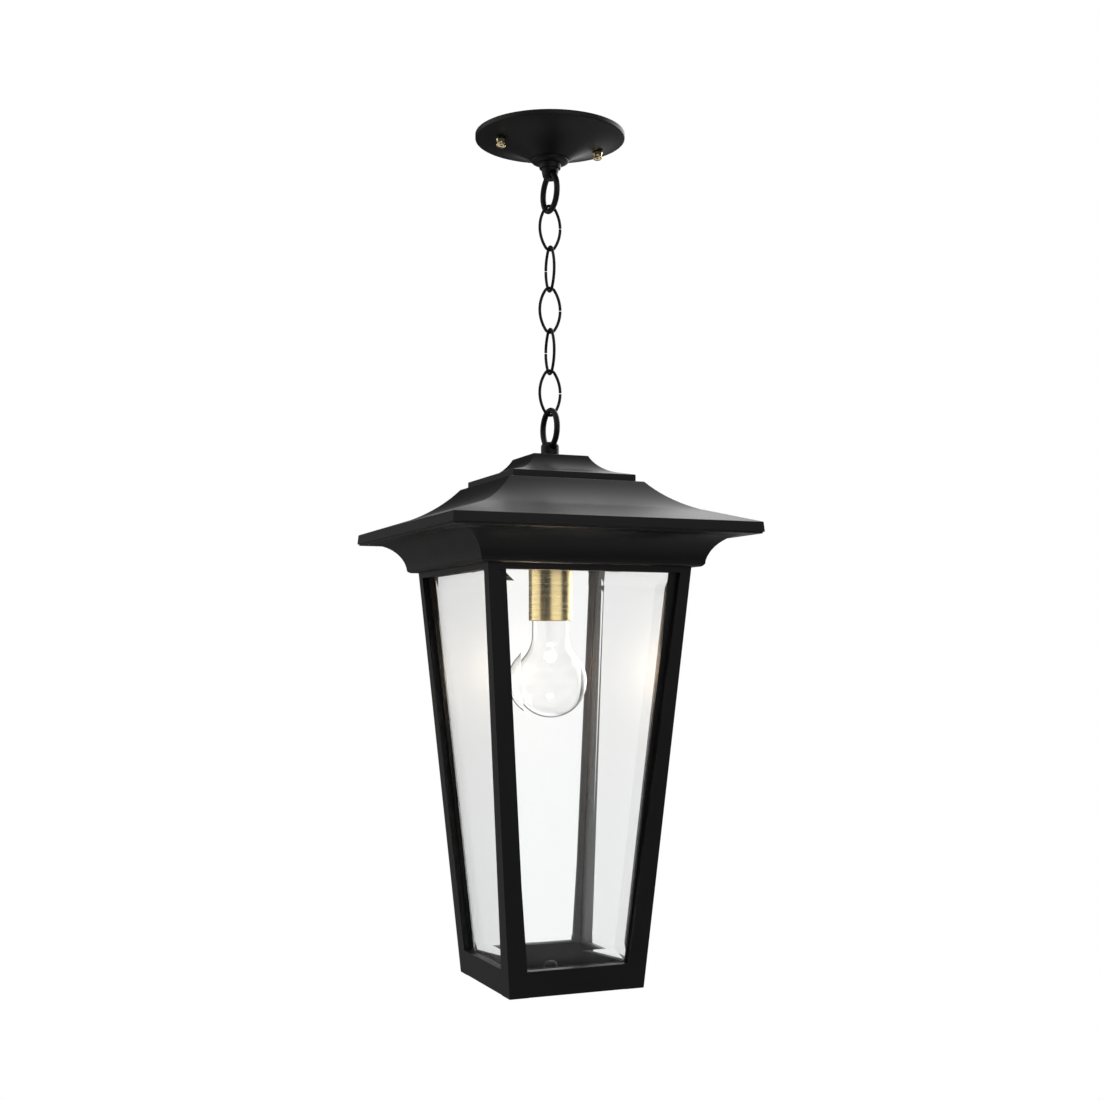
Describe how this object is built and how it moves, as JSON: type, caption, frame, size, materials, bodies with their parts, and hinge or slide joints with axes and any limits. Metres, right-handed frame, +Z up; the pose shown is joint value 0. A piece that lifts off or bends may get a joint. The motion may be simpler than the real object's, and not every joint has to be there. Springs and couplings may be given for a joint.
{
  "type": "hanging lantern",
  "caption": "Square tapered glass lantern with a two-tier flared roof, hung by oval chain links and round rings from a domed ceiling canopy.",
  "frame": {"origin": "on the ceiling plane, at the middle of the mounting strap and of the canopy's rim", "axes": "+Z up, +X along the line of the two canopy nuts and along the front of the cage, -Y towards the viewer of the front pane"},
  "size_m": [0.26, 0.26, 0.7058],
  "materials": {
    "black_sheet": "satin black powder coat on steel",
    "black_cast": "satin black powder coat on cast aluminium",
    "zinc_steel": "zinc plated",
    "green_screw": "green passivated",
    "polished_brass": "polished",
    "aged_brass": "brushed, lacquered",
    "contact_brass": "plain",
    "moulded_insulator": "moulded",
    "pane_glass": "clear, bevelled",
    "lamp_glass": "clear",
    "lamp_base_metal": "rolled thread",
    "filament_metal": "drawn wire"
  },
  "bodies": {
    "ceiling_mount": {"canopy": "black_sheet", "mounting_strap": "zinc_steel", "canopy_studs": "zinc_steel", "ground_screw": "green_screw", "screw_collar": "black_sheet", "canopy_loop": "black_sheet", "canopy_washer": "zinc_steel", "canopy_lock_nut": "zinc_steel"},
    "left_nut": {"cap_nut_left": "polished_brass"},
    "right_nut": {"cap_nut_right": "polished_brass"},
    "upper_ring": {"top_ring": "black_sheet"},
    "link_1": {"chain_link_1": "black_sheet"},
    "link_2": {"chain_link_2": "black_sheet"},
    "link_3": {"chain_link_3": "black_sheet"},
    "link_4": {"chain_link_4": "black_sheet"},
    "link_5": {"chain_link_5": "black_sheet"},
    "lower_ring": {"bottom_ring": "black_sheet"},
    "lantern": {"base_plate": "black_cast", "base_screws": "zinc_steel", "base_stud": "black_cast", "bottom_rail_back": "black_cast", "bottom_rail_front": "black_cast", "bottom_rail_left": "black_cast", "bottom_rail_right": "black_cast", "bridge_nut": "zinc_steel", "bridge_washer": "zinc_steel", "clip_screws": "zinc_steel", "corner_post_back_left": "black_cast", "corner_post_back_right": "black_cast", "corner_post_front_left": "black_cast", "corner_post_front_right": "black_cast", "cove_moulding": "black_cast", "frame_screws": "zinc_steel", "glass_back": "pane_glass", "glass_clips": "zinc_steel", "glass_front": "pane_glass", "glass_left": "pane_glass", "glass_right": "pane_glass", "lampholder_body": "moulded_insulator", "lampholder_cap": "moulded_insulator", "roof_loop": "black_sheet", "roof_lower_tier": "black_cast", "roof_upper_tier": "black_cast", "screw_shell": "contact_brass", "socket_bridge": "zinc_steel", "socket_sleeve": "aged_brass", "threaded_tube": "zinc_steel", "top_rail_back": "black_cast", "top_rail_front": "black_cast", "top_rail_left": "black_cast", "top_rail_right": "black_cast"},
    "lamp_contact": {"centre_contact": "contact_brass"},
    "lamp": {"bulb_glass": "lamp_glass", "bulb_base": "lamp_base_metal", "bulb_stem": "lamp_glass", "lead_wires": "filament_metal", "filament": "filament_metal"}
  },
  "joints": [
    {"name": "upper_ring_swing", "type": "hinge", "parent": "ceiling_mount", "child": "upper_ring", "pos_m": [0, 0, -0.0346], "axis": [0, 1, 0], "range_deg": [-20, 20]},
    {"name": "link_1_swing", "type": "hinge", "parent": "upper_ring", "child": "link_1", "pos_m": [0, 0, -0.0612], "axis": [1, 0, 0], "range_deg": [-20, 20]},
    {"name": "link_2_swing", "type": "hinge", "parent": "link_1", "child": "link_2", "pos_m": [0, 0, -0.09645], "axis": [0, 1, 0], "range_deg": [-20, 20]},
    {"name": "link_3_swing", "type": "hinge", "parent": "link_2", "child": "link_3", "pos_m": [0, 0, -0.1317], "axis": [1, 0, 0], "range_deg": [-20, 20]},
    {"name": "link_4_swing", "type": "hinge", "parent": "link_3", "child": "link_4", "pos_m": [0, 0, -0.16695], "axis": [0, 1, 0], "range_deg": [-20, 20]},
    {"name": "link_5_swing", "type": "hinge", "parent": "link_4", "child": "link_5", "pos_m": [0, 0, -0.2022], "axis": [1, 0, 0], "range_deg": [-20, 20]},
    {"name": "lower_ring_swing", "type": "hinge", "parent": "link_5", "child": "lower_ring", "pos_m": [0, 0, -0.2362], "axis": [0, 1, 0], "range_deg": [-20, 20]},
    {"name": "lantern_swing", "type": "hinge", "parent": "lower_ring", "child": "lantern", "pos_m": [0, 0, -0.2668], "axis": [0, 1, 0], "range_deg": [-20, 20]},
    {"name": "left_nut_turn", "type": "hinge", "parent": "ceiling_mount", "child": "left_nut", "pos_m": [-0.04445, 0, -0.0094], "axis": [0, 0, 1], "continuous": true},
    {"name": "right_nut_turn", "type": "hinge", "parent": "ceiling_mount", "child": "right_nut", "pos_m": [0.04445, 0, -0.0094], "axis": [0, 0, 1], "continuous": true},
    {"name": "lamp_thread_travel", "type": "slide", "parent": "lantern", "child": "lamp_contact", "axis": [0, 0, 1], "range_m": [-0.00252, 0]},
    {"name": "lamp_unscrew", "type": "hinge", "parent": "lamp_contact", "child": "lamp", "pos_m": [0, 0, -0.3823], "axis": [0, 0, 1], "range_deg": [-250, 0]}
  ],
  "couplings": [
    {"joint": "lamp_unscrew", "follows": "lamp_thread_travel", "rad_per_m": 1731.4}
  ]
}
